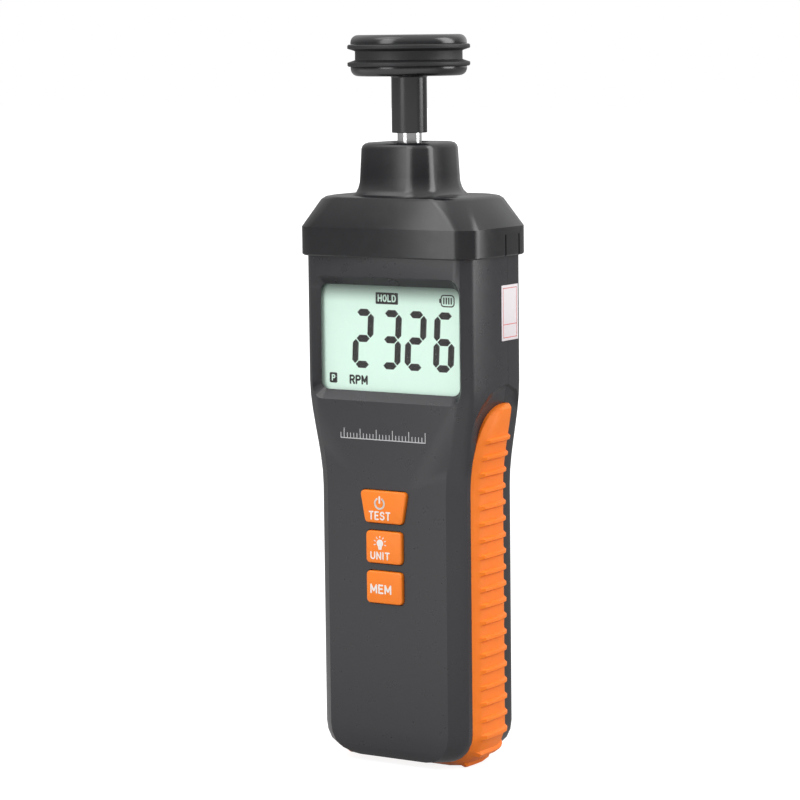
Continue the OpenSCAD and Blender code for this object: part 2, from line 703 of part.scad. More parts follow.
module switch_bodies() {
    color("#34343a") for (z = key_zs) difference() {
        plate_y(key_x, z, switch_w, switch_w, switch_y, board_y);
        rod_y(key_x, z, switch_y - over, switch_y + plunger_in + key_travel + 0.3, plunger_r + slip);
    }
}
module board_screws() {
    color("#b9bcc0") for (p = board_screws_at) difference() {
        union() {
            rod_y(p[0], p[1], board_back, board_back + head_t, head_r);
            rod_y(p[0], p[1], board_y - board_screw_len, board_back + head_t / 2, screw_r);
        }
        rod_y(p[0], p[1], board_back + head_t / 2, board_back + head_t + over, head_r / 2);
    }
}

module sensor_board() {
    color("#1f6b3a")
        translate([-sensor_board_w / 2, sensor_board_y0, sensor_board_z])
            cube([sensor_board_w, sensor_board_y1 - sensor_board_y0, board_t]);
}
module sensor_link() {
    color("#26272a")
        translate([-link_w / 2, board_back, sensor_board_z - link_h])
            cube([link_w, sensor_board_y0 - board_back + link_h, link_h]);
}
module diode(x) {
    base_t = 1;
    translate([x, 0, sensor_board_z + board_t]) cylinder(h = base_t, r = diode_r + 0.3);
    translate([x, 0, sensor_board_z + board_t])
        cylinder(h = diode_top - diode_r - sensor_board_z - board_t, r = diode_r);
    translate([x, 0, diode_top - diode_r]) sphere(diode_r);
}
module sensor_emitter() {
    color("#c9cdd6") diode(-diode_x);
}
module sensor_receiver() {
    color("#2c2a33") diode(diode_x);
}
module sensor_window() {
    color("#8f1f24") {
        translate([0, 0, hollow_top]) cylinder(h = wall - sensor_flange_t / 2, r = sensor_r);
        translate([0, 0, case_top - sensor_flange_t]) cylinder(h = sensor_flange_t, r = sensor_flange_r);
    }
}

module cell(x) {
    cap_r = 1.8;
    cap_h = 0.9;
    translate([x, cell_y, cell_low]) cylinder(h = cell_len - cap_h, r = cell_d / 2);
    translate([x, cell_y, cell_low + over]) cylinder(h = cell_len - over, r = cap_r);
}
module battery_cells() {
    color("#3b5d8f") for (x = cell_xs) cell(x);
}
module battery_contacts() {
    contact_w = cell_d - 2.5;
    color("#c4c6c8") for (x = cell_xs, up = [0, 1]) {
        z = up == 0 ? bay_low : bay_high - contact_t;
        translate([x - contact_w / 2, cell_y - contact_w / 2, z]) cube([contact_w, contact_w, contact_t]);
        translate([x, cell_y, up == 0 ? bay_low : bay_high - contact_t - nub_t])
            cylinder(h = contact_t + nub_t, r = nub_r);
    }
}
module battery_leads() {
    lead_r = 0.55;
    lead_y = bay_floor - bay_wall - lead_r;
    lead_x = 6;
    color("#a8262b") for (x = [-1, 1]) {
        translate([x * lead_x, lead_y, board_low + over]) cylinder(h = bay_high - board_low, r = lead_r);
        rod_y(x * lead_x, bay_high + over, board_back, lead_y, lead_r);
        translate([x * lead_x, lead_y, bay_high + over]) sphere(lead_r);
    }
}

module case_screws() {
    slot_t = 0.7;
    color("#b9bcc0") for (p = case_screws_at) difference() {
        union() {
            rod_y(p[0], p[1], case_seat_y, case_seat_y + case_head_t, case_head_r);
            rod_y(p[0], p[1], case_screw_tip, case_seat_y + over, case_screw_r);
        }
        plate_y(p[0], p[1], case_head_r, slot_t, case_seat_y + case_head_t / 2, case_seat_y + case_head_t + over);
        plate_y(p[0], p[1], slot_t, case_head_r, case_seat_y + case_head_t / 2, case_seat_y + case_head_t + over);
    }
}
module seal_label() {
    label_w = 8.3;
    label_h = 14.4;
    label_up = 6.5;
    label_t = 0.15;
    color("#e9eaec")
        translate([head_w / 2, case_rear - rear_edge - label_w, window_z + label_up - label_h / 2])
            cube([label_t, label_w, label_h]);
}

module battery_door() {
    color("#3a3a3c") difference() {
        union() {
            plate_y(0, (door_low + door_high) / 2, door_w, door_high - door_low, case_rear - door_t, case_rear);
            for (x = [-door_tab_x, door_tab_x])
                translate([x - door_tab_w / 2, door_tab_y - door_tab_t, door_low - door_tab_len])
                    cube([door_tab_w, door_tab_t, door_tab_len + door_tab_root]);
            for (x = [-door_tab_x, door_tab_x])
                translate([x - door_tab_w / 2, door_tab_y - door_tab_t, door_low])
                    cube([door_tab_w, door_tab_t + 2 * seat_gap, door_tab_root]);
        }
        rod_y(0, door_screw_z, case_rear - door_t - over, case_rear + over, screw_r + 0.15);
        rod_y(0, door_screw_z, case_rear - door_t / 2, case_rear + over, head_r + 0.15);
    }
}
module door_screw() {
    slot_t = 0.6;
    color("#b9bcc0") difference() {
        union() {
            rod_y(0, door_screw_z, case_rear - door_t / 2, case_rear - 0.05, head_r);
            rod_y(0, door_screw_z, case_rear - door_t - door_screw_len, case_rear - door_t / 4, screw_r);
        }
        plate_y(0, door_screw_z, 2 * head_r, slot_t, case_rear - door_t / 4, case_rear + over);
    }
}

module key(i) {
    color("#f58433") {
        key_prism(i, 0, -case_front - key_rise, key_back - key_flange_t / 2);
        key_prism(i, key_flange, key_back - key_flange_t, key_back);
    }
}
module plunger(i) {
    color("#e9e4d8") rod_y(key_x, key_zs[i], key_back, switch_y + plunger_in, plunger_r);
}
module test_key() key(0);
module unit_key() key(1);
module memory_key() key(2);
module test_plunger() plunger(0);
module unit_plunger() plunger(1);
module memory_plunger() plunger(2);

function tower_ring(grow, r, z) =
    let (h = tower_w / 2 + grow, b = min(h, skirt_front - shoulder_back - seat_gap)) lift(ring(h, b, b, r, r), z);
function cap_ring(z, in, back, round) = lift(ring(
    skirt_hw - in, skirt_front - back, skirt_rear - back, skirt_rf + round, skirt_rr + round), z);
module adapter_cap() {
    color("#3c3c3e") difference() {
        union() {
            loft(concat(
                [cap_ring(skirt_low, skirt_edge, skirt_edge, 0), cap_ring(skirt_low + skirt_edge, 0, 0, 0)],
                [for (t = shoulder_steps) cap_ring(skirt_high + t[0] * (shoulder_z - skirt_high),
                    t[1] * shoulder_in, t[2] * shoulder_back, t[3] * shoulder_round)],
                [for (t = tower_levels) tower_ring(t[1], tower_round + t[2], shoulder_z + t[0])],
                [for (t = tower_crown) tower_ring(-t[1], tower_round - t[1] / 2, tower_top - t[0])]));
            for (x = [-1, 1])
                translate([x * (head_w / 2 + fit_gap), catch_y, catch_z + catch_h / 2])
                    cube([2 * catch_t, catch_w, catch_h], center = true);
        }
        difference() {
            translate([0, 0, skirt_low - over]) linear_extrude(cap_seat - skirt_low + over)
                polygon(ring(head_w / 2 + fit_gap, case_front + fit_gap, case_rear + fit_gap,
                    front_edge + fit_gap, rear_edge + fit_gap));
            for (x = [-1, 1])
                translate([x * (head_w / 2 + fit_gap), catch_y, catch_z + catch_h / 2])
                    cube([2 * catch_t, catch_w, catch_h], center = true);
        }
        translate([0, 0, cap_seat - over]) linear_extrude(cap_roof - cap_seat + over)
            polygon(ring(chamber_hw, chamber_front, chamber_rear, chamber_round, chamber_round));
        translate([0, 0, cap_roof - over])
            cylinder(h = high_bearing_z + bearing_w - cap_roof + over, r = bearing_r + slip);
        translate([0, 0, high_bearing_z]) cylinder(h = tower_top, r = lip_r);
        for (x = [-1, 1], y = [-1, 1])
            translate([x * retainer_screw_x, y * retainer_screw_x, cap_roof - over])
                cylinder(h = retainer_screw_len + 0.5 + over, r = pilot_r);
        for (x = [-1, 1], y = [-1, 1])
            translate([x * skirt_hw, tongue_y + y * tongue_w / 2, skirt_low])
                cube([4 * skirt_wall, slot_w, 2 * (slot_top - skirt_low)], center = true);
    }
}

// A tube along Z
module tube(z, h, r, bore) {
    translate([0, 0, z]) rotate_extrude() translate([bore, 0]) square([r - bore, h]);
}
module race_groove(z) {
    translate([0, 0, z + bearing_w / 2]) rotate_extrude() translate([ball_pitch_r, 0]) circle(ball_r + 0.02);
}
module bearing_outer_rings() {
    color("#b4b6b9") for (z = [low_bearing_z, high_bearing_z]) difference() {
        tube(z, bearing_w, bearing_r, race_out_r);
        race_groove(z);
    }
}
module bearing_inner_rings() {
    color("#b4b6b9") for (z = [low_bearing_z, high_bearing_z]) difference() {
        tube(z, bearing_w, race_in_r, axle_r + slip);
        race_groove(z);
    }
}
module bearing_spacer() {
    color("#8e9196") tube(low_bearing_z + bearing_w + seat_gap / 2,
        high_bearing_z - low_bearing_z - bearing_w - seat_gap, bearing_r, race_out_r);
}
module bearing_balls() {
    color("#d6d8da") for (z = [low_bearing_z, high_bearing_z], i = [0:ball_count - 1])
        rotate([0, 0, i * 360 / ball_count]) translate([ball_pitch_r, 0, z + bearing_w / 2]) sphere(ball_r);
}
module bearing_retainer() {
    color("#9fa2a6") translate([0, 0, cap_roof - retainer_t]) difference() {
        linear_extrude(retainer_t) round_rect(retainer_w, retainer_w, tower_round);
        translate([0, 0, -over]) cylinder(h = retainer_t + 2 * over, r = retainer_hole_r);
        for (x = [-1, 1], y = [-1, 1])
            translate([x * retainer_screw_x, y * retainer_screw_x, -over])
                cylinder(h = retainer_t + 2 * over, r = screw_r + 0.15);
    }
}
module retainer_screws() {
    color("#b9bcc0") for (x = [-1, 1], y = [-1, 1])
        translate([x * retainer_screw_x, y * retainer_screw_x, cap_roof - retainer_t]) difference() {
            union() {
                translate([0, 0, -head_t]) cylinder(h = head_t, r = head_r);
                translate([0, 0, -head_t / 2]) cylinder(h = head_t / 2 + retainer_t + retainer_screw_len, r = screw_r);
            }
            translate([0, 0, -head_t - over]) cylinder(h = head_t / 2 + over, r = head_r / 2);
        }
}

module spindle() {
    color("#c8cacd") difference() {
        union() {
            translate([0, 0, spindle_low]) cylinder(h = axle_top - spindle_low, r = axle_r);
            translate([0, 0, high_bearing_z + bearing_w + seat_gap]) cylinder(h = collar_t, r = collar_r);
        }
        tube(clip_z - seat_gap, clip_t + 2 * seat_gap, axle_r + over, axle_r - clip_in);
    }
}
module spindle_clip() {
    gap_w = 3.6;
    color("#7d8085") difference() {
        tube(clip_z, clip_t, clip_r, axle_r - clip_in + slip);
        translate([0, -gap_w / 2, clip_z - over]) cube([2 * clip_r, gap_w, clip_t + 2 * over]);
    }
}
module signal_disc() {
    color("#232325") difference() {
        union() {
            translate([0, 0, disc_z]) cylinder(h = disc_t, r = disc_r);
            translate([0, 0, disc_z]) cylinder(h = disc_hub_h, r = disc_hub_r);
        }
        translate([0, 0, spindle_low - seat_gap]) cylinder(h = disc_hub_h + over, r = axle_r + slip);
    }
}
module reflector_mark() {
    color("#eef0f2") translate([0, 0, disc_z - mark_t]) rotate([0, 0, -45])
        rotate_extrude(angle = 90) square([mark_r, mark_t]);
}

module speed_wheel() {
    half = wheel_w / 2;
    color("#37373a") translate([0, 0, wheel_z]) difference() {
        rotate_extrude() polygon([
            [0, stem_low - wheel_z], [stem_d / 2 - stem_fillet / 4, stem_low - wheel_z],
            [stem_d / 2, stem_low - wheel_z + stem_fillet / 4], [stem_d / 2, -half - stem_fillet],
            [stem_d / 2 + stem_fillet, -half],
            each arc(flange_d / 2 - flange_round, flange_round - half, flange_round, -90, 0),
            [flange_d / 2, -tread_half - seat_gap],
            [channel_r, -tread_half - seat_gap], [channel_r, tread_half + seat_gap],
            [flange_d / 2, tread_half + seat_gap],
            each arc(flange_d / 2 - flange_round, half - flange_round, flange_round, 0, 90), [0, half]]);
        translate([0, 0, stem_low - wheel_z - over])
            cylinder(h = axle_top + 0.2 - stem_low + over, r = axle_r + slip);
    }
}
module wheel_tyre() {
    r = tyre_d / 2;
    color("#202022") translate([0, 0, wheel_z]) rotate_extrude() polygon([
        [channel_r + slip, -tread_half], [r - tread_edge, -tread_half], [r, tread_edge - tread_half],
        [r, -groove_half - groove_slope], [groove_d / 2, -groove_half], [groove_d / 2, groove_half],
        [r, groove_half + groove_slope], [r, tread_half - tread_edge], [r - tread_edge, tread_half],
        [channel_r + slip, tread_half]]);
}

front_shell();
rear_shell();
front_grip();
rear_grip();
window_lens();
lcd_panel();
lcd_frame();
backlight();
zebra_strips();
main_board();
control_chip();
board_parts();
switch_bodies();
board_screws();
sensor_board();
sensor_link();
sensor_emitter();
sensor_receiver();
sensor_window();
battery_cells();
battery_contacts();
battery_leads();
case_screws();
seal_label();
battery_door();
door_screw();
test_key();
unit_key();
memory_key();
test_plunger();
unit_plunger();
memory_plunger();
adapter_cap();
bearing_outer_rings();
bearing_spacer();
bearing_balls();
bearing_retainer();
retainer_screws();
bearing_inner_rings();
spindle();
spindle_clip();
signal_disc();
reflector_mark();
speed_wheel();
wheel_tyre();
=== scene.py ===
# %% [markdown]
# # A handheld contact tachometer
# The exact solids of this instrument come packed from its construction. This lesson dresses them:
# it gives each one its real material, prints the display and the keys, and lights and frames the
# whole like a catalogue photograph. All lengths in Blender are metres, and the notes speak in mm.

from math import cos, pi, radians, sin

import bmesh
import bpy
from mathutils import Matrix, Vector


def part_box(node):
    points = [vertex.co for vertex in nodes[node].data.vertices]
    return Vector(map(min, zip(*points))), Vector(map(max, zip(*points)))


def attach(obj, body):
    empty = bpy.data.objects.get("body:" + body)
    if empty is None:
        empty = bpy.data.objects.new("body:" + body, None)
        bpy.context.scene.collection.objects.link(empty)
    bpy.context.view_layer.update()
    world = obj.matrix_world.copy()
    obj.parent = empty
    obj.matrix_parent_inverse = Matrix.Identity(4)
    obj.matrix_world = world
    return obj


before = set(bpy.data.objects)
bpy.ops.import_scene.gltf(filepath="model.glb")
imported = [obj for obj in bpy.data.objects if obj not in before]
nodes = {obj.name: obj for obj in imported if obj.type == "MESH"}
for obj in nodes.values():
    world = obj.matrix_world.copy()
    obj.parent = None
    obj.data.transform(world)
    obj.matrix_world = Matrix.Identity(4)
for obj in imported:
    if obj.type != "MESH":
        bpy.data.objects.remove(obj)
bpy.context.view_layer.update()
mm = 0.001

# %% [markdown]
# ## Colours and shader nodes
# Colours are written as sRGB hex values, as a paint chart gives them, and one function turns them
# into the linear light that Blender counts in. One more function adds a shader node with its
# settings and its links, which keeps every material below down to a few readable lines.

# %% Helpers for colour and nodes
def linear(hex_colour):
    parts = [int(hex_colour[i : i + 2], 16) / 255 for i in (1, 3, 5)]
    return tuple(p / 12.92 if p <= 0.04045 else ((p + 0.055) / 1.055) ** 2.4 for p in parts) + (1.0,)


def add_node(tree, kind, inputs=None, **settings):
    """Adds a node; an input given as a socket is linked, and any other value is set."""
    node = tree.nodes.new(kind)
    for key, value in settings.items():
        setattr(node, key, value)
    for key, value in (inputs or {}).items():
        if isinstance(value, bpy.types.NodeSocket):
            tree.links.new(value, node.inputs[key])
        else:
            node.inputs[key].default_value = value
    return node


def new_finish(name, colour, roughness, grain, depth, spread=0.05, uneven=0.05, **shader_inputs):
    """A principled material. Its bump has grains of grain mm that are depth mm high. Its colour
    changes by the share spread, and its roughness by uneven, in clouds ten times that size."""
    material = bpy.data.materials.new(name)
    material.use_nodes = True
    tree = material.node_tree
    shader = tree.nodes["Principled BSDF"]
    for key, value in shader_inputs.items():
        shader.inputs[key.replace("_", " ")].default_value = value
    place = add_node(tree, "ShaderNodeTexCoord").outputs["Object"]
    fine = add_node(tree, "ShaderNodeTexNoise", {"Vector": place, "Scale": 1 / (grain * mm), "Detail": 2.0})
    clouds = add_node(tree, "ShaderNodeTexNoise", {"Vector": place, "Scale": 0.1 / (grain * mm), "Detail": 3.0})
    shades = [tuple(min(1.0, c * k) for c in linear(colour)[:3]) + (1.0,) for k in (1 - spread, 1 + spread)]
    tint = add_node(
        tree, "ShaderNodeMix", {0: clouds.outputs["Fac"], 6: shades[0], 7: shades[1]}, data_type="RGBA")
    rough = add_node(tree, "ShaderNodeMapRange", {
        "Value": clouds.outputs["Fac"], "To Min": max(0.02, roughness - uneven), "To Max": roughness + uneven})
    bump = add_node(
        tree, "ShaderNodeBump", {"Height": fine.outputs["Fac"], "Distance": depth * mm, "Strength": 1.0})
    tree.links.new(tint.outputs[2], shader.inputs["Base Color"])
    tree.links.new(rough.outputs["Result"], shader.inputs["Roughness"])
    tree.links.new(bump.outputs["Normal"], shader.inputs["Normal"])
    return material


print("white as linear light:", linear("#ffffff"))

# %% [markdown]
# ## Moulded plastics
# The two shells and the adapter are ABS, moulded in a mould whose walls were spark-eroded. That
# leaves a grain of about 0.1 mm, which blurs reflections into broad soft sheens. The grain is drawn
# a little coarser, at 0.3 mm, so that it shows in a render of this size.

# %% ABS for the case and the adapter
case_abs = new_finish("ABS spark-eroded charcoal", "#252428", 0.29, 0.3, 0.002, IOR=1.53)
rear_abs = new_finish("ABS spark-eroded dark grey", "#242327", 0.31, 0.3, 0.002, IOR=1.53)
adapter_abs = new_finish("ABS satin black", "#151518", 0.23, 0.3, 0.0015, IOR=1.53)
door_abs = new_finish("ABS spark-eroded door", "#242327", 0.38, 0.3, 0.003, IOR=1.53)
white_abs = new_finish("ABS natural white", "#d8d8d4", 0.45, 0.3, 0.004, IOR=1.53)
black_nylon = new_finish("nylon black moulded", "#26272a", 0.5, 0.25, 0.005, IOR=1.53)
print("ABS finishes:", case_abs.name, "|", adapter_abs.name)

# %% [markdown]
# ## A crowned front
# A moulded wall is never quite flat, so a reflection in it fades in from one side to the other. The
# solids are flat here, and the bulge is in the shading alone: a bump with a parabola of 0.6 mm
# across the width and one of 0.9 mm across the depth, both added to the height of the grain.

# %% Crowns on the front and the flanks
def add_crown(material, axis, bulge, width):
    """A bulge of so many mm over a width in mm, along the axis X or Y, added to the finish's bump."""
    tree = material.node_tree
    bump = tree.nodes["Principled BSDF"].inputs["Normal"].links[0].from_node
    height = bump.inputs["Height"].links[0].from_socket
    place = add_node(tree, "ShaderNodeTexCoord").outputs["Object"]
    across = add_node(tree, "ShaderNodeSeparateXYZ", {0: place}).outputs[axis]
    squared = add_node(tree, "ShaderNodeMath", {0: across, 1: across}, operation="MULTIPLY").outputs[0]
    sag = -4 * bulge / (width * width) / mm / bump.inputs["Distance"].default_value
    summed = add_node(tree, "ShaderNodeMath", {0: squared, 1: sag, 2: height}, operation="MULTIPLY_ADD")
    tree.links.new(summed.outputs[0], bump.inputs["Height"])


front_crown = {"axis": "X", "bulge": 0.6, "width": 50}
flank_crown = {"axis": "Y", "bulge": 0.9, "width": 29}
for material in (case_abs, adapter_abs):
    add_crown(material, **front_crown)
    add_crown(material, **flank_crown)
print("crowned:", case_abs.name, "and", adapter_abs.name)

# %% [markdown]
# ## Soft grips and keys
# The grips are a thermoplastic elastomer moulded over the case, and the keys are silicone rubber.
# Both are dyed through, so their colour is strong, and their skin is matt with a faint sheen. A
# little subsurface light keeps the ribs' shadows warm, as dyed rubber does.

# %% TPE and silicone
rubber_glow = {
    "Subsurface_Weight": 0.12, "Subsurface_Radius": (1.2, 0.5, 0.2), "Subsurface_Scale": mm, "IOR": 1.45}
grip_tpe = new_finish("TPE orange grip moulded", "#ff7f18", 0.48, 0.25, 0.005, spread=0.06, **rubber_glow)
key_silicone = new_finish("silicone rubber orange moulded", "#ff841f", 0.42, 0.25, 0.003, **rubber_glow)
tyre_rubber = new_finish("nitrile rubber moulded", "#18181a", 0.55, 0.2, 0.004, IOR=1.52)
strip_rubber = new_finish("silicone rubber with carbon", "#2b2b2d", 0.7, 0.2, 0.004, IOR=1.45)
print("rubbers:", grip_tpe.name, "|", key_silicone.name)

# %% [markdown]
# ## Metals
# The spindle is ground and polished stainless steel, a mirror that shows as white and black stripes.
# Screws, bearings and plates are duller steels. The metals keep the shader's default IOR, and only
# their colour, roughness and grain change, which are the marks that their last machining left.

# %% Steels and other metals
def metal(name, colour, roughness, grain, depth):
    return new_finish(name, colour, roughness, grain, depth, spread=0.03, uneven=0.03, Metallic=1.0)


polished_steel = metal("stainless steel ground and polished", "#e6e6e7", 0.16, 0.15, 0.0004)
zinc_steel = metal("zinc-plated steel", "#b9bcc0", 0.32, 0.2, 0.002)
bearing_steel = metal("bearing steel ground", "#b4b6b9", 0.18, 0.15, 0.0008)
spring_steel = metal("spring steel blued", "#6f7277", 0.3, 0.2, 0.001)
contact_nickel = metal("nickel-plated spring sheet", "#c9c5ba", 0.25, 0.2, 0.001)
spacer_aluminium = metal("aluminium turned", "#a3a6aa", 0.35, 0.2, 0.002)
mark_foil = metal("aluminium foil bright", "#eef0f2", 0.2, 0.3, 0.001)
print("metals:", polished_steel.name, "|", zinc_steel.name)

# %% [markdown]
# ## The wheel's hard coat
# The wheel is turned aluminium with a black anodised coat. The coat is not a metal to the eye: it is
# a dark, clear oxide over the tool marks. The marks run round the axis, so a wave texture of rings
# stands in for the grain, with 0.25 mm from ring to ring. The coat is shiny, and the tyre is matt.

# %% Anodised aluminium with tool marks
wheel_coat = new_finish("aluminium turned and black anodised", "#141417", 0.2, 0.2, 0.0005, IOR=1.6)
wheel_tree = wheel_coat.node_tree
wheel_place = add_node(wheel_tree, "ShaderNodeTexCoord").outputs["Object"]
rings = add_node(
    wheel_tree, "ShaderNodeTexWave", {"Vector": wheel_place, "Scale": 0.05 / (0.25 * mm), "Distortion": 0.4},
    wave_type="RINGS", rings_direction="Z")
ring_bump = add_node(
    wheel_tree, "ShaderNodeBump", {"Height": rings.outputs["Fac"], "Distance": 0.002 * mm, "Strength": 0.5})
wheel_tree.links.new(ring_bump.outputs["Normal"], wheel_tree.nodes["Principled BSDF"].inputs["Normal"])
print("wheel coat:", wheel_coat.name)

# %% [markdown]
# ## Clear and inner parts
# The window is a clear acrylic sheet. Most of its light goes straight through, so it is mostly
# transparent, with a smooth face that still shows reflections. Diodes are epoxy. Boards are glass
# fibre with a green solder mask, in which the weave stands 0.5 mm apart.

# %% Window, sensor and boards
window_acrylic = new_finish(
    "acrylic clear sheet", "#ffffff", 0.03, 4.0, 0.0005, spread=0.0, uneven=0.01,
    IOR=1.49, Transmission_Weight=1.0, Alpha=0.05)
sensor_red = new_finish(
    "acrylic red filter", "#8f1f24", 0.06, 1.0, 0.001, uneven=0.02, IOR=1.49, Transmission_Weight=0.4)
diffuser = new_finish("acrylic light guide frosted", "#f2f4ee", 0.5, 0.2, 0.003, IOR=1.49)
clear_epoxy = new_finish("epoxy clear cast", "#c9cdd6", 0.08, 0.5, 0.001, uneven=0.02, Transmission_Weight=0.6)
dark_epoxy = new_finish("epoxy dark cast", "#2c2a33", 0.1, 0.5, 0.001, uneven=0.02)
solder_mask = new_finish("glass fibre with solder mask", "#1f6b3a", 0.35, 0.5, 0.004, Coat_Weight=0.4)
capacitor_film = new_finish("polyester film tan", "#b5a06a", 0.35, 0.3, 0.003)
cell_sleeve = new_finish("printed shrink sleeve blue", "#3b5d8f", 0.3, 0.4, 0.002, Coat_Weight=0.3)
lead_pvc = new_finish("PVC red extruded", "#a8262b", 0.4, 0.3, 0.003)
label_paper = new_finish("paper coated white", "#e6dfe2", 0.6, 0.15, 0.003, spread=0.02)
print("inner finishes ready")

# %% [markdown]
# ## The display's backing
# Behind the liquid crystal lies a pale green reflector. The rim above it shades the uppermost 5 mm,
# so the backing gets darker there. That is a gradient over the height of the panel, in its own
# coordinates. The part above that, 1.2 mm tall, is hidden by the rim.

# %% Liquid crystal backing
lcd_low, lcd_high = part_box("lcd_panel")
display_green = new_finish("liquid crystal reflector", "#ddf9ea", 0.45, 0.2, 0.001, spread=0.02)
green_tree = display_green.node_tree
green_shader = green_tree.nodes["Principled BSDF"]
green_place = add_node(green_tree, "ShaderNodeTexCoord").outputs["Object"]
green_height = add_node(green_tree, "ShaderNodeSeparateXYZ", {0: green_place})
shade_top = lcd_high[2] - 1.2 * mm
shade_tall = 5 * mm
shade = add_node(green_tree, "ShaderNodeMapRange", {
    "Value": green_height.outputs["Z"], "From Min": shade_top - shade_tall, "From Max": shade_top,
    "To Min": 0.0, "To Max": 1.0}, interpolation_type="SMOOTHSTEP")
even_green = green_shader.inputs["Base Color"].links[0].from_socket
shaded_green = add_node(green_tree, "ShaderNodeMix", {
    0: shade.outputs["Result"], 6: even_green, 7: linear("#7a8d83")}, data_type="RGBA")
green_tree.links.new(shaded_green.outputs[2], green_shader.inputs["Base Color"])
print("display from z =", round(lcd_low[2] / mm, 1), "to", round(lcd_high[2] / mm, 1), "mm")

# %% [markdown]
# ## Give each solid its finish
# A solid keeps its own mesh. It only gets another material in its first slot. The table below reads
# as the list of parts of the instrument.

# %% Assign the finishes
finishes = {
    "front_shell": case_abs, "rear_shell": rear_abs, "front_grip": grip_tpe, "rear_grip": grip_tpe,
    "window_lens": window_acrylic, "lcd_panel": display_green, "lcd_frame": white_abs, "backlight": diffuser,
    "zebra_strips": strip_rubber, "main_board": solder_mask, "control_chip": black_nylon,
    "board_parts": capacitor_film, "switch_bodies": black_nylon, "board_screws": zinc_steel,
    "sensor_board": solder_mask, "sensor_link": black_nylon, "sensor_emitter": clear_epoxy,
    "sensor_receiver": dark_epoxy, "sensor_window": sensor_red, "battery_cells": cell_sleeve,
    "battery_contacts": contact_nickel, "battery_leads": lead_pvc, "case_screws": zinc_steel,
    "seal_label": label_paper, "battery_door": door_abs, "door_screw": zinc_steel,
    "test_key": key_silicone, "unit_key": key_silicone, "memory_key": key_silicone,
    "test_plunger": white_abs, "unit_plunger": white_abs, "memory_plunger": white_abs,
    "adapter_cap": adapter_abs, "bearing_outer_rings": bearing_steel, "bearing_spacer": spacer_aluminium,
    "bearing_balls": polished_steel, "bearing_retainer": zinc_steel, "retainer_screws": zinc_steel,
    "bearing_inner_rings": bearing_steel, "spindle": polished_steel, "spindle_clip": spring_steel,
    "signal_disc": black_nylon, "reflector_mark": mark_foil, "speed_wheel": wheel_coat,
    "wheel_tyre": tyre_rubber,
}
for name, material in finishes.items():
    mesh = nodes[name].data
    mesh.materials.clear()
    mesh.materials.append(material)
print("finished solids:", len(finishes), "of", len(nodes))

# %% [markdown]
# ## Smooth faces and broken edges
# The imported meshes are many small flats. A node modifier joins their corners, shades them smooth,
# and keeps an edge sharp where two faces meet at more than 30 degrees. The adapter's crease between
# its skirt and its slope is flatter than that, and it is kept by its height.

# %% A modifier that shades by angle
sharp_turn = radians(30)
crease_turn = radians(5)
join_distance = 0.002 * mm


def shading_by_angle(name, crease_z=None):
    group = bpy.data.node_groups.new(name, "GeometryNodeTree")
    group.interface.new_socket("Geometry", in_out="INPUT", socket_type="NodeSocketGeometry")
    group.interface.new_socket("Geometry", in_out="OUTPUT", socket_type="NodeSocketGeometry")
    start = add_node(group, "NodeGroupInput")
    joined = add_node(
        group, "GeometryNodeMergeByDistance", {"Geometry": start.outputs[0], "Distance": join_distance})
    smooth = add_node(
        group, "GeometryNodeSetShadeSmooth", {"Geometry": joined.outputs[0], "Shade Smooth": True},
        domain="FACE")
    turn = add_node(group, "GeometryNodeInputMeshEdgeAngle").outputs["Unsigned Angle"]
    keep = add_node(
        group, "FunctionNodeCompare", {"A": turn, "B": sharp_turn}, operation="GREATER_THAN").outputs[0]
    if crease_z is not None:
        spot = add_node(group, "GeometryNodeInputPosition").outputs[0]
        height = add_node(group, "ShaderNodeSeparateXYZ", {0: spot})
        near = add_node(
            group, "FunctionNodeCompare", {"A": height.outputs["Z"], "B": crease_z, "Epsilon": 0.05 * mm},
            operation="EQUAL").outputs[0]
        bent = add_node(
            group, "FunctionNodeCompare", {"A": turn, "B": crease_turn}, operation="GREATER_THAN").outputs[0]
        crease = add_node(group, "FunctionNodeBooleanMath", {0: near, 1: bent}, operation="AND").outputs[0]
        keep = add_node(group, "FunctionNodeBooleanMath", {0: keep, 1: crease}, operation="OR").outputs[0]
    soft = add_node(group, "FunctionNodeBooleanMath", {0: keep}, operation="NOT").outputs[0]
    edges = add_node(
        group, "GeometryNodeSetShadeSmooth", {"Geometry": smooth.outputs[0], "Shade Smooth": soft},
        domain="EDGE")
    add_node(group, "NodeGroupOutput", {0: edges.outputs[0]})
    return group


shade_30 = shading_by_angle("shade smooth under 30 degrees")
skirt_height = 7.5 * mm
shade_cap = shading_by_angle("shade smooth with the skirt's crease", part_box("adapter_cap")[0][2] + skirt_height)
print("shading groups:", shade_30.name, "|", shade_cap.name)

# %% [markdown]
# ## Bevels
# No moulded or turned edge is sharp, and its small round catches the light. Where a solid is simple,
# a weld and a planar decimate turn its triangles back into whole faces, and a bevel then rounds the
# edges by a few tenths of a millimetre. It takes material away only, so the size stays.

# %% Add the modifiers
edge_rounds = {
    "test_key": 0.5, "unit_key": 0.5, "memory_key": 0.5, "battery_door": 0.3, "speed_wheel": 0.12,
    "wheel_tyre": 0.12, "control_chip": 0.1, "switch_bodies": 0.2, "seal_label": 0.03,
}
for name, piece in nodes.items():
    if name in edge_rounds:
        weld = piece.modifiers.new("weld", "WELD")
        weld.merge_threshold = join_distance
        whole = piece.modifiers.new("whole faces", "DECIMATE")
        whole.decimate_type = "DISSOLVE"
        whole.angle_limit = radians(1)
        bevel = piece.modifiers.new("round edges", "BEVEL")
        bevel.width = edge_rounds[name] * mm
        bevel.segments = 3
        bevel.limit_method = "ANGLE"
        bevel.angle_limit = radians(35)
    step = piece.modifiers.new("shade by angle", "NODES")
    step.node_group = shade_cap if name == "adapter_cap" else shade_30
print("pieces with rounded edges:", len(edge_rounds))

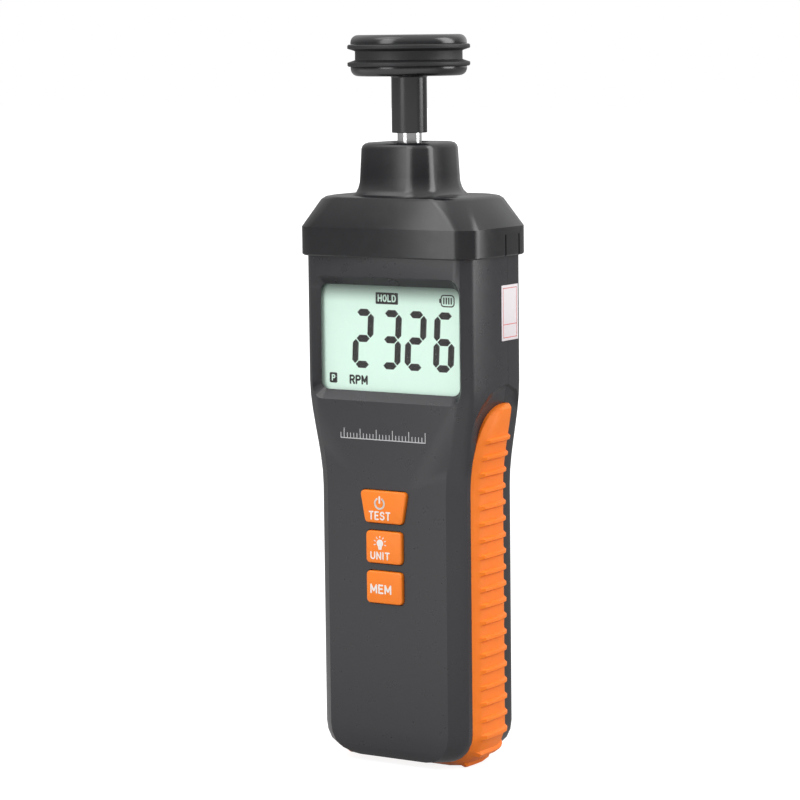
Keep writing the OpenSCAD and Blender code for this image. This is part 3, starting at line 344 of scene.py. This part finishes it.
# %% [markdown]
# ## The camera
# The photograph shows the instrument from its right front, with the lens level with the wheel and
# pointing a little down. The values come from lining up the solids' corners with the photograph's:
# the view is turned 32.4 degrees, tilted 6.8 degrees down, and the picture leans by 0.6 degrees.

# %% Place the camera
image_px = 800
view_turn = radians(32.36)
view_tilt = radians(6.77)
view_roll = radians(0.64)
view_distance = 806.8 * mm
eye_height = 191.3 * mm
focal_px = 3095.6
axis_px = 412.6

camera_data = bpy.data.cameras.new("catalogue camera")
camera_data.sensor_width = 36
camera_data.lens = focal_px / image_px * camera_data.sensor_width
camera_data.clip_start = 0.05
camera_data.clip_end = 20
camera_data.shift_x = -(axis_px - image_px / 2) / image_px
camera = bpy.data.objects.new("catalogue camera", camera_data)
bpy.context.scene.collection.objects.link(camera)
turn = Matrix.Rotation(view_turn, 4, "Z")
tilt = Matrix.Rotation(pi / 2 - view_tilt, 4, "X")
roll = Matrix.Rotation(-view_roll, 4, "Z")
stand = Vector((sin(view_turn) * view_distance, -cos(view_turn) * view_distance, eye_height))
camera.matrix_world = Matrix.Translation(stand) @ turn @ tilt @ roll
bpy.context.scene.camera = camera
print("lens in mm:", round(camera_data.lens, 1), "stands at", [round(v, 3) for v in stand])

# %% [markdown]
# ## The floor
# A catalogue photograph is taken on a white sweep, and the picture's background is pure white. The
# floor is a mid-grey sheet that takes the contact shadow, and to the camera it also glows, less near
# the instrument and fully from 0.7 m on. A white card lies on its front half: it shows only in
# reflections, where it lights the handle's front, and it ends before the head can mirror it.

# %% Floor
floor_white = new_finish("studio paper white", "#8c8c8c", 0.9, 1.0, 0.01, spread=0.0)
near_reach, far_reach = 0.1, 0.7
near_glow, far_glow = 0.88, 1.0
card_back, card_front = 0.1, -0.15
card_glow = 0.85
card_reach, card_fade = 0.5, 1.5
card_rest = 0.1

floor_tree = floor_white.node_tree
floor_path = add_node(floor_tree, "ShaderNodeLightPath")
floor_direct = add_node(floor_tree, "ShaderNodeMath", {
    0: floor_path.outputs["Is Camera Ray"], 1: floor_path.outputs["Is Transmission Ray"]}, operation="ADD")
floor_place = add_node(floor_tree, "ShaderNodeTexCoord").outputs["Object"]
floor_axes = add_node(floor_tree, "ShaderNodeSeparateXYZ", {0: floor_place})
card = add_node(floor_tree, "ShaderNodeMapRange", {
    "Value": floor_axes.outputs["Y"], "From Min": card_back, "From Max": card_front,
    "To Min": 0.0, "To Max": card_glow})
floor_reach = add_node(floor_tree, "ShaderNodeVectorMath", {0: floor_place}, operation="LENGTH")
card_end = add_node(floor_tree, "ShaderNodeMapRange", {
    "Value": floor_reach.outputs["Value"], "From Min": card_reach, "From Max": card_fade,
    "To Min": 1.0, "To Max": card_rest})
card_level = add_node(floor_tree, "ShaderNodeMath", {
    0: card.outputs["Result"], 1: card_end.outputs["Result"]}, operation="MULTIPLY")
floor_seen = add_node(floor_tree, "ShaderNodeMath", {
    0: floor_path.outputs["Is Glossy Ray"], 1: card_level.outputs[0], 2: floor_direct.outputs[0]},
    operation="MULTIPLY_ADD")
floor_glow = add_node(floor_tree, "ShaderNodeMapRange", {
    "Value": floor_reach.outputs["Value"], "From Min": near_reach, "From Max": far_reach,
    "To Min": near_glow, "To Max": far_glow})
floor_level = add_node(floor_tree, "ShaderNodeMath", {
    0: floor_glow.outputs["Result"], 1: floor_seen.outputs[0]}, operation="MULTIPLY")
floor_shader = floor_tree.nodes["Principled BSDF"]
floor_shader.inputs["Emission Color"].default_value = linear("#ffffff")
floor_tree.links.new(floor_level.outputs[0], floor_shader.inputs["Emission Strength"])

floor_mesh = bpy.data.meshes.new("studio floor")
half = 6.0
floor_corners = [(-half, -half, 0), (half, -half, 0), (half, half, 0), (-half, half, 0)]
floor_mesh.from_pydata(floor_corners, [], [(0, 1, 2, 3)])
floor_mesh.materials.append(floor_white)
floor = bpy.data.objects.new("studio_floor", floor_mesh)
bpy.context.scene.collection.objects.link(floor)
print("floor at z = 0, half width", half, "m")

# %% [markdown]
# ## The room
# The room's light comes mostly from its ceiling, so the world is dim at the horizon and bright
# overhead. To the camera it is plain white. A reflection sees that white only straight behind the
# instrument, where the backdrop hangs: it lights the rims at a grazing angle.

# %% World
horizon_light, ceiling_light = 0.2, 1.45
backdrop_from, backdrop_full = 0.86, 1.0
backdrop_mirrored = 0.9

world = bpy.data.worlds.new("studio")
bpy.context.scene.world = world
world.use_nodes = True
world_tree = world.node_tree
world_path = add_node(world_tree, "ShaderNodeLightPath")
world_way = add_node(world_tree, "ShaderNodeTexCoord").outputs["Generated"]
world_axes = add_node(world_tree, "ShaderNodeSeparateXYZ", {0: world_way})
room = add_node(world_tree, "ShaderNodeMapRange", {
    "Value": world_axes.outputs["Z"], "From Min": 0.0, "From Max": 1.0,
    "To Min": horizon_light, "To Max": ceiling_light})
behind = add_node(world_tree, "ShaderNodeMapRange", {
    "Value": world_axes.outputs["Y"], "From Min": backdrop_from, "From Max": backdrop_full,
    "To Min": 0.0, "To Max": backdrop_mirrored})
world_direct = add_node(world_tree, "ShaderNodeMath", {
    0: world_path.outputs["Is Camera Ray"], 1: world_path.outputs["Is Transmission Ray"]}, operation="ADD")
world_seen = add_node(world_tree, "ShaderNodeMath", {
    0: world_path.outputs["Is Glossy Ray"], 1: behind.outputs["Result"], 2: world_direct.outputs[0]},
    operation="MULTIPLY_ADD")
ambient = world_tree.nodes["Background"]
ambient.inputs["Color"].default_value = linear("#ffffff")
world_tree.links.new(room.outputs["Result"], ambient.inputs["Strength"])
backdrop = add_node(world_tree, "ShaderNodeBackground", {"Color": linear("#ffffff"), "Strength": 1.0})
world_mix = add_node(
    world_tree, "ShaderNodeMixShader",
    {0: world_seen.outputs[0], 1: ambient.outputs[0], 2: backdrop.outputs[0]})
world_tree.links.new(world_mix.outputs[0], world_tree.nodes["World Output"].inputs["Surface"])
print("the room's strength runs from", horizon_light, "to", ceiling_light)

# %% [markdown]
# ## The softboxes
# One tall softbox stands left of the camera: the front mirrors its edge, so it fades up towards the
# right. A second one stands far to the right, and shows as a bright stripe where the flank begins.
# Between them it is dark, which draws the corner. A third hangs above, for the adapter's slope.

# %% Softboxes
def softbox(name, azimuth, height, distance, width, tall, watts):
    """An area lamp that faces the middle of the instrument. The azimuth in degrees runs from the
    front to the right. The lengths are in metres."""
    lamp = bpy.data.lights.new(name, "AREA")
    lamp.shape = "RECTANGLE"
    lamp.size = width
    lamp.size_y = tall
    lamp.energy = watts
    box = bpy.data.objects.new(name, lamp)
    bpy.context.scene.collection.objects.link(box)
    place = Vector((sin(radians(azimuth)) * distance, -cos(radians(azimuth)) * distance, height))
    aim = Vector((0, 0, 0.1)) - place
    box.matrix_world = Matrix.Translation(place) @ aim.to_track_quat("-Z", "Y").to_matrix().to_4x4()


softbox("softbox left", -13, 0.5, 1.1, 0.5, 1.3, 6.8)
softbox("softbox right", 118, 0.5, 1.1, 0.55, 1.3, 10)
softbox("softbox top", -35, 1.45, 0.8, 0.9, 0.9, 5)

# %% [markdown]
# ## Printing on flat faces
# The display's segments and the marks on the keys are all thin flat shapes. One helper raises any
# list of outlines, drawn in mm across X and Z, into plates that lie on a face that looks to -Y.
# Words are drawn with a pen of one width, as a stencil for such small print would be.

# %% Helpers for flat marks
lift_step = 0.01
lift_levels = 24
rooted = 0.2


def add_plate(form, back, front):
    """Closes the two faces and the rim of a plate whose corners are given as two lists of points."""
    back = [form.verts.new(point) for point in back]
    front = [form.verts.new(point) for point in front]
    form.faces.new(front)
    form.faces.new(list(reversed(back)))
    for i in range(len(front)):
        j = (i + 1) % len(front)
        form.faces.new((front[j], front[i], back[i], back[j]))


def add_piece(name, form, material, body):
    """Turns a form into a piece that rides on a body of the frame."""
    bmesh.ops.recalc_face_normals(form, faces=form.faces)
    mesh = bpy.data.meshes.new(name)
    form.to_mesh(mesh)
    form.free()
    mesh.materials.append(material)
    piece = bpy.data.objects.new(name, mesh)
    bpy.context.scene.collection.objects.link(piece)
    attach(piece, body)


def flat_marks(name, outlines, face_y, thickness, material, body, slot):
    """Closed outlines of (x, z) in mm, raised by thickness mm in front of the plane y = face_y mm.
    Neighbours differ by a hundredth of that, so that no two faces lie in one plane where they cross."""
    form = bmesh.new()
    for count, outline in enumerate(outlines):
        lift = thickness * (1 - lift_step * (count % lift_levels))
        back = [(x * mm, (face_y + rooted * lift) * mm, z * mm) for x, z in outline]
        front = [(x * mm, (face_y - lift) * mm, z * mm) for x, z in outline]
        add_plate(form, back, front)
    add_piece(name, form, material, body)


def disc(x, z, radius, count=24):
    """A circle's points, clockwise from the top."""
    return [(x + radius * sin(2 * pi * i / count), z + radius * cos(2 * pi * i / count)) for i in range(count)]


def rounded(x0, z0, x1, z1, radius, steps=5):
    """A rectangle from (x0, z0) to (x1, z1) with round corners."""
    corners = [(x1 - radius, z1 - radius, 0), (x0 + radius, z1 - radius, 90), (x0 + radius, z0 + radius, 180),
               (x1 - radius, z0 + radius, 270)]
    return [(cx + radius * cos(radians(a + 90 * i / steps)), cz + radius * sin(radians(a + 90 * i / steps)))
            for cx, cz, a in corners for i in range(steps + 1)]


def stroke(points, width):
    """A pen line of one width through some points: a bar for each stretch and a dot at each turn."""
    shapes = [disc(x, z, width / 2, count=12) for x, z in points]
    for (x0, z0), (x1, z1) in zip(points, points[1:]):
        side = Vector((z0 - z1, x1 - x0)).normalized() * width / 2
        shapes.append([(x0 + side.x, z0 + side.y), (x1 + side.x, z1 + side.y), (x1 - side.x, z1 - side.y),
                       (x0 - side.x, z0 - side.y)])
    return shapes


def bend(x, z, rx, rz, start, end, count=8):
    """Points along part of an ellipse, from start to end degrees, counter-clockwise from the right."""
    angles = [radians(start + (end - start) * i / count) for i in range(count + 1)]
    return [(x + rx * cos(a), z + rz * sin(a)) for a in angles]


pen_letters = {
    "D": [[(0, 0), (0, 1), (0.5, 1)] + bend(0.5, 0.5, 0.5, 0.5, 90, -90) + [(0, 0)]],
    "E": [[(1, 1), (0, 1), (0, 0), (1, 0)], [(0, 0.52), (0.85, 0.52)]],
    "H": [[(0, 0), (0, 1)], [(1, 0), (1, 1)], [(0, 0.5), (1, 0.5)]],
    "I": [[(0.5, 0), (0.5, 1)]],
    "L": [[(0, 1), (0, 0), (1, 0)]],
    "M": [[(0, 0), (0, 1), (0.5, 0.25), (1, 1), (1, 0)]],
    "N": [[(0, 0), (0, 1), (1, 0), (1, 1)]],
    "O": [bend(0.5, 0.5, 0.5, 0.5, 0, 360, 20)],
    "P": [[(0, 0), (0, 1), (0.6, 1)] + bend(0.6, 0.74, 0.4, 0.26, 90, -90) + [(0, 0.48)]],
    "R": [[(0, 0), (0, 1), (0.6, 1)] + bend(0.6, 0.74, 0.4, 0.26, 90, -90) + [(0, 0.48)],
          [(0.55, 0.48), (1, 0)]],
    "S": [bend(0.5, 0.75, 0.45, 0.25, 20, 270) + bend(0.5, 0.25, 0.5, 0.25, 90, -160)],
    "T": [[(0, 1), (1, 1)], [(0.5, 1), (0.5, 0)]],
    "U": [[(0, 1), (0, 0.35)] + bend(0.5, 0.35, 0.5, 0.35, 180, 360) + [(1, 1)]],
}
pen_widths = {"I": 0.1, "M": 1.25, "E": 0.85, "L": 0.8}
letter_gap = 0.6


def lettering(name, word, x, z, height, width, pen, *surface):
    """A word in plain pen strokes: height and width in mm over all, with its middle at (x, z)."""
    shares = [pen_widths.get(letter, 1.0) for letter in word]
    unit = (width - pen) / (sum(shares) + letter_gap * (len(word) - 1))
    across = x - (width - pen) / 2
    shapes = []
    for letter, share in zip(word, shares):
        for line in pen_letters[letter]:
            points = [(across + px * share * unit, z + (pz - 0.5) * (height - pen)) for px, pz in line]
            shapes += stroke(points, pen)
        across += (share + letter_gap) * unit
    flat_marks(name, shapes, *surface)


print("helpers for printed marks ready")

# %% [markdown]
# ## The display
# A liquid crystal display turns dark in the shape of its electrodes: hexagonal bars for the digits,
# and small fixed words and signs around them. They are drawn as plates 0.02 mm thick on the glass.
# The digits are 15.5 mm tall, lean by 3 degrees, and read 2326.

# %% Seven-segment digits
ink_dark = new_finish("liquid crystal dark segment", "#140e0f", 0.5, 0.3, 0.001)
glass_y = lcd_low[1] / mm
middle_z = (lcd_low[2] + lcd_high[2]) / 2 / mm
mark_t = 0.02
on_glass = (glass_y, mark_t, ink_dark, "case", "lcd_panel")
on_tag = (glass_y - mark_t, mark_t, display_green, "case", "lcd_panel")
segment_t = 1.85
digit_h = 15.5
digit_w = 6.3
lean = sin(radians(3.0))
segment_gap = 0.2
segments_of = {"2": "abged", "3": "abgcd", "6": "acdefg"}


def bar(x0, z0, x1, z1):
    """A hexagonal bar between two points, with pointed ends."""
    start, end = Vector((x0, z0)), Vector((x1, z1))
    along = (end - start).normalized()
    across = Vector((-along.y, along.x)) * segment_t / 2
    start, end, tip = start + along * segment_gap, end - along * segment_gap, along * segment_t / 2
    corners = [start, start + tip + across, end - tip + across, end, end - tip - across, start + tip - across]
    return [tuple(c) for c in corners]


def digit(figure, x, z):
    """Outlines of one figure whose middle is at (x, z)."""
    w = (digit_w - segment_t) / 2
    h = (digit_h - segment_t) / 2
    ends = {"a": (-w, h, w, h), "b": (w, h, w, 0), "c": (w, 0, w, -h), "d": (-w, -h, w, -h),
            "e": (-w, 0, -w, -h), "f": (-w, h, -w, 0), "g": (-w, 0, w, 0)}
    outlines = [bar(*ends[s]) for s in segments_of[figure]]
    return [[(x + px + pz * lean, z + pz) for px, pz in outline] for outline in outlines]


digit_xs = [-8.95, -0.35, 7.25, 15.9]
digit_z = middle_z - 0.25
reading = [outline for figure, x in zip("2326", digit_xs) for outline in digit(figure, x, digit_z)]
flat_marks("lcd_digits", reading, *on_glass)
print("segments drawn:", len(reading))

# %% [markdown]
# ## Small signs of the display
# The fixed signs are one electrode each. HOLD and P stand light on a dark tag: on such a glass they
# are left clear and show the backing, and here they are green plates on the tag. RPM, the unit, is
# dark on green.

# %% Words of the display
hold_tag = rounded(-4.9, middle_z + 8.95, 2.0, middle_z + 12.0, 0.25)
flat_marks("lcd_hold_tag", [hold_tag], *on_glass)
lettering("lcd_hold", "HOLD", -1.45, middle_z + 10.5, 1.9, 5.6, 0.36, *on_tag)
unit_tag = rounded(-19.6, middle_z - 12.3, -17.2, middle_z - 9.6, 0.4)
flat_marks("lcd_unit_tag", [unit_tag], *on_glass)
lettering("lcd_unit_sign", "P", -18.35, middle_z - 10.95, 1.7, 1.1, 0.32, *on_tag)
lettering("lcd_rpm", "RPM", -10.5, middle_z - 11.15, 2.5, 5.7, 0.54, *on_glass)
print("words on the plane y =", round(glass_y, 2), "mm")

# %% Battery sign of the display
cell_x0, cell_x1 = 15.1, 19.0
cell_z0, cell_z1 = middle_z + 9.0, middle_z + 11.9
cell_round = 0.8
line_t = 0.32
pole_t = 0.55
pole_in = 0.9
charge_bars = 4
charge_t = 0.42
charge_pitch = 0.74
charge_in = 0.62
charge_up = 0.6

cell_line = rounded(cell_x0, cell_z0, cell_x1, cell_z1, cell_round, steps=3)
battery_sign = stroke(cell_line + cell_line[:1], line_t)
battery_sign.append([(cell_x0 - pole_t, cell_z0 + pole_in), (cell_x0, cell_z0 + pole_in),
                     (cell_x0, cell_z1 - pole_in), (cell_x0 - pole_t, cell_z1 - pole_in)])
for i in range(charge_bars):
    x = cell_x0 + charge_in + i * charge_pitch
    low, high = cell_z0 + charge_up, cell_z1 - charge_up
    battery_sign.append([(x, low), (x + charge_t, low), (x + charge_t, high), (x, high)])
flat_marks("lcd_battery", battery_sign, *on_glass)
print("battery sign of", len(battery_sign), "shapes")

# %% [markdown]
# ## Marks on the keys
# Each key carries its function in white ink: a word, and a sign above it for power and for the
# display light. The ink is a film, so it stands 0.03 mm proud of the silicone and rides on its key.

# %% Key words and signs
ink_white = new_finish("pad-printing ink white", "#efe9e4", 0.45, 0.15, 0.001)
ink_t = 0.03
sign_x = -1.5


def key_front(key):
    """The height of a key's middle, and the depth of its front face, in mm."""
    low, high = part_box(key)
    return (low[2] + high[2]) / 2 / mm, low[1] / mm


test_z, key_y = key_front("test_key")
unit_z, _ = key_front("unit_key")
memory_z, _ = key_front("memory_key")

on_test = (key_y, ink_t, ink_white, "key_test", "test_key")
on_unit = (key_y, ink_t, ink_white, "key_unit", "unit_key")
on_memory = (key_y, ink_t, ink_white, "key_memory", "memory_key")

power_z = test_z + 1.06
power_pen = 0.5
power_ring = bend(sign_x, power_z - 0.1, 1.4, 1.4, 125, 415, 24)
power_bar = [(sign_x, power_z + 0.1), (sign_x, power_z + 1.6)]
flat_marks("power_sign", stroke(power_ring, power_pen) + stroke(power_bar, power_pen), *on_test)
lettering("test_word", "TEST", sign_x, test_z - 2.27, 2.3, 6.7, 0.4, *on_test)

bulb_z = unit_z + 1.1
ray_pen = 0.24
ray_count = 7
ray_turn = 35
bulb_sign = [disc(sign_x, bulb_z, 1.0),
             [(sign_x - 0.66, bulb_z - 0.6), (sign_x - 0.45, bulb_z - 1.7),
              (sign_x + 0.45, bulb_z - 1.7), (sign_x + 0.66, bulb_z - 0.6)]]
for i in range(ray_count):
    a = radians((i - (ray_count - 1) / 2) * ray_turn)
    ray = [(sign_x + r * sin(a), bulb_z + r * cos(a)) for r in (1.45, 1.85)]
    bulb_sign += stroke(ray, ray_pen)
flat_marks("light_sign", bulb_sign, *on_unit)
lettering("unit_word", "UNIT", sign_x, unit_z - 2.21, 2.1, 6.0, 0.38, *on_unit)
lettering("memory_word", "MEM", -1.4, memory_z - 0.42, 2.5, 6.5, 0.46, *on_memory)
print("keys printed at y =", round(key_y, 2), "mm")

# %% [markdown]
# ## The case's front print
# Below the display the case carries a light-grey print. Here it is a plain scale of ticks, which
# fills the same strip and says nothing but that this is a meter.

# %% A scale of ticks
ink_grey = new_finish("pad-printing ink light grey", "#bdbdbf", 0.5, 0.15, 0.001)
face_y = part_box("front_shell")[0][1] / mm
scale_x0, scale_x1 = -13.9, 12.3
scale_z = middle_z - 26.1
line_half = 0.12
tick_w = 0.22
tick_count = 27
tall_every = 5
tall_tick, short_tick = 2.6, 1.4

low, high = scale_z - line_half, scale_z + line_half
ticks = [[(scale_x0, low), (scale_x1, low), (scale_x1, high), (scale_x0, high)]]
for i in range(tick_count):
    x = scale_x0 + (scale_x1 - scale_x0 - tick_w) * i / (tick_count - 1)
    top = scale_z + (tall_tick if i % tall_every == 1 else short_tick)
    ticks.append([(x, high), (x + tick_w, high), (x + tick_w, top), (x, top)])
flat_marks("front_scale", ticks, face_y, ink_t, ink_grey, "case", "front_shell")
print("ticks:", tick_count)

# %% [markdown]
# ## The seal label's print
# A red frame with one cross line is printed on the white label that bridges the parting line on the
# right flank. The words that such a label has are left off.

# %% Red lines on the label
ink_red = new_finish("label ink red", "#d9655f", 0.6, 0.15, 0.001)
label_low, label_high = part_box("seal_label")
label_x = label_high[0]
label_margin = 0.7
label_line = 0.18
y0, y1 = label_low[1] / mm + label_margin, label_high[1] / mm - label_margin
z0, z1 = label_low[2] / mm + label_margin, label_high[2] / mm - label_margin
cross_share = 0.26
cross_z = z0 + (z1 - z0) * cross_share
label_bars = [(y0, z0, y1, z0 + label_line), (y0, z1 - label_line, y1, z1), (y0, z0, y0 + label_line, z1),
              (y1 - label_line, z0, y1, z1), (y0, cross_z, y1, cross_z + label_line)]
form = bmesh.new()
for a, b, c, d in label_bars:
    corners = [(a, b), (c, b), (c, d), (a, d)]
    add_plate(
        form, [(label_x, y * mm, z * mm) for y, z in corners],
        [(label_x + mark_t * mm, y * mm, z * mm) for y, z in corners])
add_piece("label_lines", form, ink_red, "case")
print("label lines:", len(label_bars))

# %% [markdown]
# ## The view transform
# The render is shown through Blender's Standard view transform. The dressed model has
# to stay inside the solids' box.

# %% Set the view transform
bpy.context.scene.view_settings.view_transform = "Standard"
